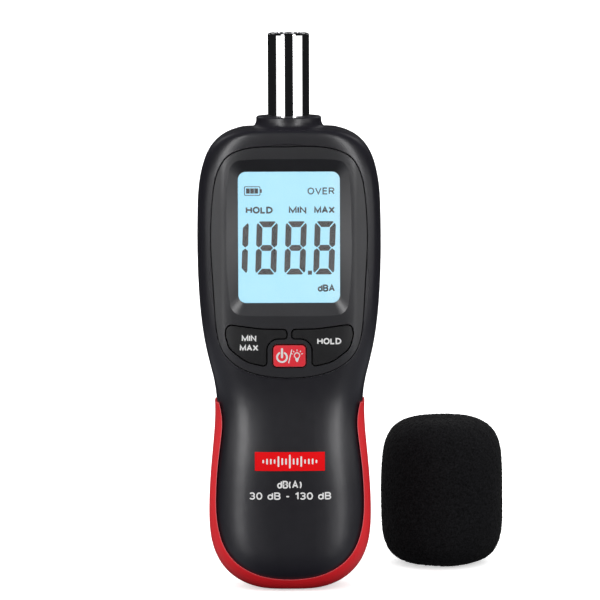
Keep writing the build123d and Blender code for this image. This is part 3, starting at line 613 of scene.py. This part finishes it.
# ------------------------------------------------------- badge and case print
BADGE_X = (-10.68, 10.7)
BADGE_Z = (37.95, 43.75)
BADGE_THICK = 0.12
BAR_COUNT = 15
BAR_PITCH, BAR_WEIGHT = 1.16, 0.5


def make_badge():
    """A thin red plate that follows the handle, with a plain level-bar mark."""
    skin = skin_of("front_shell")
    work = bmesh.new()
    bmesh.ops.create_grid(work, x_segments=36, y_segments=8, size=0.5)
    for vert in work.verts:
        x = BADGE_X[0] + (vert.co.x + 0.5) * (BADGE_X[1] - BADGE_X[0])
        z = BADGE_Z[0] + (vert.co.y + 0.5) * (BADGE_Z[1] - BADGE_Z[0])
        vert.co = Vector((x, -BADGE_THICK, z)) * MM
    lay_on(work, skin)
    rim = bmesh.ops.extrude_face_region(work, geom=list(work.faces))
    for vert in (v for v in rim["geom"] if isinstance(v, bmesh.types.BMVert)):
        vert.co.y += (BADGE_THICK + 0.03) * MM
    piece("badge_plate", work, badge_red, "housing")

    bars = bmesh.new()
    middle = sum(BADGE_Z) / 2
    for i in range(BAR_COUNT):
        place = i - (BAR_COUNT - 1) / 2
        x = place * BAR_PITCH
        swing = math.exp(-(place / 5.2) ** 2) * (0.55 + 0.45 * math.cos(2.2 * place))
        half = 0.25 + 1.6 * swing
        add_stroke(bars, [(x, middle - half), (x, middle), (x, middle + half)], BAR_WEIGHT,
                   -BADGE_THICK - 0.03, -BADGE_THICK + 0.02)
    lay_on(bars, skin)
    piece("badge_mark", bars, white_ink, "housing")


def make_case_print():
    """The two lines of generic text under the badge."""
    skin = skin_of("front_shell")
    for name, text, x_range, z_range, weight in (
            ("print_unit", "dB(A)", (-3.9, 3.6), (32.5, 34.9), 0.44),
            ("print_range", "30 dB - 130 dB", (-12.5, 12.6), (29.0, 31.3), 0.42)):
        work = lettering(text, x_range, z_range, weight, *INK)
        lay_on(work, skin)
        piece(name, work, white_ink, "housing")


def half_hull(points):
    """Half of the convex hull of sorted points, without its last point."""
    chain = []
    for p in points:
        while len(chain) > 1 and ((chain[-1][0] - chain[-2][0]) * (p[1] - chain[-2][1])
                                  - (chain[-1][1] - chain[-2][1]) * (p[0] - chain[-2][0])) <= 0:
            chain.pop()
        chain.append(p)
    return chain[:-1]


PANEL_CENTRE_Z = 0.102               # metres, a place inside the panel's outline
LIP_OUT, LIP_RADIUS, LIP_SINK = 0.42, 0.13, 0.02    # millimetres
LIP_STEPS, LIP_SIDES = 220, 8


def make_pocket_lip():
    """The fine raised lip of the case round the inset panel."""
    corners = sorted({(v.co.x, v.co.z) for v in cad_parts["front_bezel"].data.vertices})
    hull = half_hull(corners) + half_hull(corners[::-1])
    centre = Vector((0, PANEL_CENTRE_Z))
    skin = skin_of("front_shell")
    out, radius, steps = LIP_OUT * MM, LIP_RADIUS * MM, LIP_STEPS
    angles = sorted((math.atan2(z - centre.y, x - centre.x), math.hypot(x - centre.x, z - centre.y))
                    for x, z in hull)
    path = []
    for i in range(steps):
        a = -math.pi + 2 * math.pi * (i + 0.5) / steps
        k = next((k for k, (b, _) in enumerate(angles) if b > a), 0)
        (a0, r0), (a1, r1) = angles[k - 1], angles[k]
        a0 -= 2 * math.pi if a0 > a else 0
        a1 += 2 * math.pi if a1 < a else 0
        share = (a - a0) / (a1 - a0)
        reach = 1 / ((1 - share) / r0 + share / r1) + out
        path.append((centre.x + reach * math.cos(a), centre.y + reach * math.sin(a)))
    spine = [Vector((x, front_y(skin, x, z) - LIP_SINK * MM, z)) for x, z in path]
    work = bmesh.new()
    rings = []
    for i, point in enumerate(spine):
        along = (spine[(i + 1) % steps] - spine[i - 1]).normalized()
        side = along.cross(Vector((0, 1, 0))).normalized()
        lift = side.cross(along)
        rings.append([work.verts.new(point + radius * (math.cos(t) * side + math.sin(t) * lift))
                      for t in (2 * math.pi * j / LIP_SIDES for j in range(LIP_SIDES))])
    for i in range(steps):
        after = rings[(i + 1) % steps]
        for j in range(LIP_SIDES):
            k = (j + 1) % LIP_SIDES
            work.faces.new((rings[i][j], after[j], after[k], rings[i][k]))
    lip = piece("pocket_lip", work, satin_case, "housing")
    for face in lip.data.polygons:
        face.use_smooth = True


# ---------------------------------------------------------------- windscreen
BORE_RADIUS, BORE_TOP, BORE_MOUTH = 6.32, 30, 0.6   # millimetres
MOUTH_ROUND = 0.3            # the foam's lowest ring lies this far outside the bore
FOAM_AROUND, FOAM_UP = 300, 150
TOP_TILT = 89                # degrees, the highest ring
RAY_REACH = 0.06             # metres, from the foam's middle to outside it
# Millimetres: spacing or blob size, then depth, of pores, fuzz and dents.
PORE_SIZE, PORE_DEPTH = 0.95, 0.7
FUZZ_SIZE, FUZZ_DEPTH = 0.6, 0.12
DENT_SIZE, DENT_DEPTH = 11, 0.25
PORE_REACH = 0.6             # a pore ends this far from its middle, as a share of the spacing
SKIN_SINK, TIP_SINK = 0.12, 0.2      # millimetres that the skin and its top lie inside the CAD shape


def make_foam():
    """The foam ball: the CAD outline with its bore, and open pores all over."""
    low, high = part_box("windscreen")
    skin = skin_of("windscreen")
    cx, cy, cz = (low + high) / 2
    bore_radius, bore_top = BORE_RADIUS * MM, BORE_TOP * MM
    around, up = FOAM_AROUND, FOAM_UP
    work = bmesh.new()
    first = math.atan2(low.z - cz, bore_radius + MOUTH_ROUND * MM)
    rings = []
    for i in range(up):
        tilt = first + (math.radians(TOP_TILT) - first) * i / (up - 1)
        ring = []
        for j in range(around):
            turn = 2 * math.pi * j / around
            way = Vector((math.cos(tilt) * math.cos(turn), math.cos(tilt) * math.sin(turn), math.sin(tilt)))
            centre = Vector((cx, cy, cz))
            hit = skin.ray_cast(centre + way * RAY_REACH, -way)[0]
            spot = noise.voronoi(hit * (1 / (PORE_SIZE * MM)))[0]
            pore = max(0.0, PORE_REACH - spot[0]) * PORE_DEPTH * MM
            fuzz = noise.fractal(hit * (1 / (FUZZ_SIZE * MM)), 0.8, 2.0, 3) * FUZZ_DEPTH * MM
            dent = noise.noise(hit * (1 / (DENT_SIZE * MM))) * DENT_DEPTH * MM
            place = hit - way * (pore + SKIN_SINK * MM - fuzz - dent)
            place.z = max(place.z, 0.0)
            ring.append(work.verts.new(place))
        rings.append(ring)
    for height in (BORE_MOUTH * MM, bore_top / 2, bore_top):
        inner = [work.verts.new((cx + bore_radius * math.cos(2 * math.pi * j / around),
                                 cy + bore_radius * math.sin(2 * math.pi * j / around), height))
                 for j in range(around)]
        rings.insert(0, inner)
    for below, above in zip(rings, rings[1:]):
        for j in range(around):
            k = (j + 1) % around
            work.faces.new((below[j], below[k], above[k], above[j]))
    for ring, tip in ((rings[0], Vector((cx, cy, bore_top))),
                      (rings[-1], Vector((cx, cy, high.z - TIP_SINK * MM)))):
        top = work.verts.new(tip)
        for j in range(around):
            work.faces.new((ring[j], ring[(j + 1) % around], top))
    ball = piece("foam_windscreen", work, bpy.data.materials["open_cell_foam"], "windscreen")
    for face in ball.data.polygons:
        face.use_smooth = True
    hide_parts("windscreen")


# ---------------------------------------------------------- floor and lights
FLOOR_HALF, FLOOR_DROP = 12, 0.00005    # metres
FLOOR_GLOW = 0.55


def make_floor():
    """A pale floor that shows to the camera but not in reflections."""
    work = bmesh.new()
    bmesh.ops.create_grid(work, x_segments=8, y_segments=8, size=FLOOR_HALF)
    mesh = bpy.data.meshes.new("floor")
    work.to_mesh(mesh)
    work.free()
    made, nodes, links, shader = blank("pale_floor", Roughness=0.9, Emission_Strength=FLOOR_GLOW)
    shader.inputs["Emission Color"].default_value = (1, 1, 1, 1)
    links.new(two_tone(nodes, links, cloud(nodes, links, 300.0), (0.88, 0.88, 0.88), (0.9, 0.9, 0.9)),
              shader.inputs["Base Color"])
    mesh.materials.append(made)
    floor = bpy.data.objects.new("floor", mesh)
    floor.location.z = -FLOOR_DROP
    floor.visible_glossy = False
    floor.visible_diffuse = False
    floor.visible_shadow = False
    bpy.context.scene.collection.objects.link(floor)


def soft_light(name, turn, height, distance, size, tilt, radiance):
    """A rectangle, seen only in reflections, at an angle round the meter from its front."""
    lamp = bpy.data.lights.new(name, "AREA")
    lamp.shape = "RECTANGLE"
    lamp.size, lamp.size_y = size
    lamp.energy = radiance * math.pi * size[0] * size[1]
    angle = math.radians(turn)
    holder = bpy.data.objects.new(name, lamp)
    holder.location = (distance * math.sin(angle), -distance * math.cos(angle), height)
    holder.rotation_euler = (math.radians(90 - tilt), 0, angle)
    holder.visible_camera = False
    holder.visible_diffuse = False
    bpy.context.scene.collection.objects.link(holder)


# Name, turn, height, distance, width and height, downward tilt, and radiance; degrees and metres.
LIGHTS = [
    ("strip_left", -33, 0.375, 0.8, (0.20, 1.12), 20, 8.6),
    ("strip_right", 33, 0.375, 0.8, (0.20, 1.12), 20, 8.0),
    ("low_left", -46, 0.11, 0.7, (0.66, 0.22), 0, 1.4),
    ("low_right", 57, 0.11, 0.7, (0.66, 0.22), 0, 1.4),
    ("back_left", -150, 0.75, 1.0, (0.3, 0.5), 32, 0.6),
    ("back_right", 150, 0.75, 1.0, (0.3, 0.5), 32, 0.6),
]


def make_lights():
    """Two tall strips in front, two low lights at the sides and two behind."""
    for settings in LIGHTS:
        soft_light(*settings)


SKY_STRENGTH = 1.5
SKY_RISE = (-0.35, 0.05)     # the sky goes from black to white between these heights
TABLE_SIDES = (0.25, 0.75)   # the table fades in between these distances to either side
TABLE_BELOW = (-0.22, -0.40)     # and between these heights below the horizon
ROOM_GLOW = (0.012, 0.5)     # strength of the reflected room, away from the table and on it


def make_world():
    """White to the camera and the floor; in reflections a dim room with a pale table at the sides."""
    world = bpy.data.worlds.new("studio")
    bpy.context.scene.world = world
    world.use_nodes = True
    nodes, links = world.node_tree.nodes, world.node_tree.links
    bright = nodes["Background"]
    bright.inputs["Strength"].default_value = SKY_STRENGTH
    height = coordinate(nodes, links, "Z", "Generated")
    links.new(ranged(nodes, links, height, *SKY_RISE), bright.inputs["Color"])
    beside = unsigned(nodes, links, coordinate(nodes, links, "X", "Generated"))
    table = add(nodes, "Math", operation="MULTIPLY")
    links.new(ranged(nodes, links, beside, *TABLE_SIDES), table.inputs[0])
    links.new(ranged(nodes, links, height, *TABLE_BELOW), table.inputs[1])
    level = ranged(nodes, links, table.outputs["Value"], 0.0, 1.0, *ROOM_GLOW)
    room = add(nodes, "Background")
    room.inputs["Color"].default_value = (0.9, 0.93, 1.0, 1)
    links.new(level, room.inputs["Strength"])
    path = add(nodes, "LightPath")
    mix = add(nodes, "MixShader")
    links.new(path.outputs["Is Glossy Ray"], mix.inputs["Fac"])
    links.new(bright.outputs["Background"], mix.inputs[1])
    links.new(room.outputs["Background"], mix.inputs[2])
    links.new(mix.outputs["Shader"], nodes["World Output"].inputs["Surface"])


# ------------------------------------------------------------------- camera
CAMERA_PLACE = Vector((3.273, -1200.0, 225.0)) * MM
CAMERA_TARGET = Vector((3.273, 0.0, 88.80)) * MM
CAMERA_ROLL = math.radians(0.2)
CAMERA_LENS = 235.75         # millimetres, on a sensor 36 wide


def make_camera():
    """The photo's viewpoint, with its slight roll."""
    ahead = (CAMERA_TARGET - CAMERA_PLACE).normalized()
    level = Vector((1, 0, 0))
    above = level.cross(ahead)
    right = math.cos(CAMERA_ROLL) * level - math.sin(CAMERA_ROLL) * above
    up = math.sin(CAMERA_ROLL) * level + math.cos(CAMERA_ROLL) * above
    camera = bpy.data.cameras.new("camera")
    camera.lens = CAMERA_LENS
    camera.sensor_width = 36.0
    camera.clip_end = 50.0
    holder = bpy.data.objects.new("camera", camera)
    turn = Matrix((right, up, -ahead)).transposed().to_4x4()
    holder.matrix_world = Matrix.Translation(CAMERA_PLACE) @ turn
    bpy.context.scene.collection.objects.link(holder)
    bpy.context.scene.camera = holder


make_camera()
make_world()
make_lights()
make_floor()
make_digits()
make_battery_icon()
make_display_words()
make_key_legends()
make_power_symbols()
make_badge()
make_case_print()
make_pocket_lip()
make_foam()
bpy.context.scene.view_settings.view_transform = "Standard"
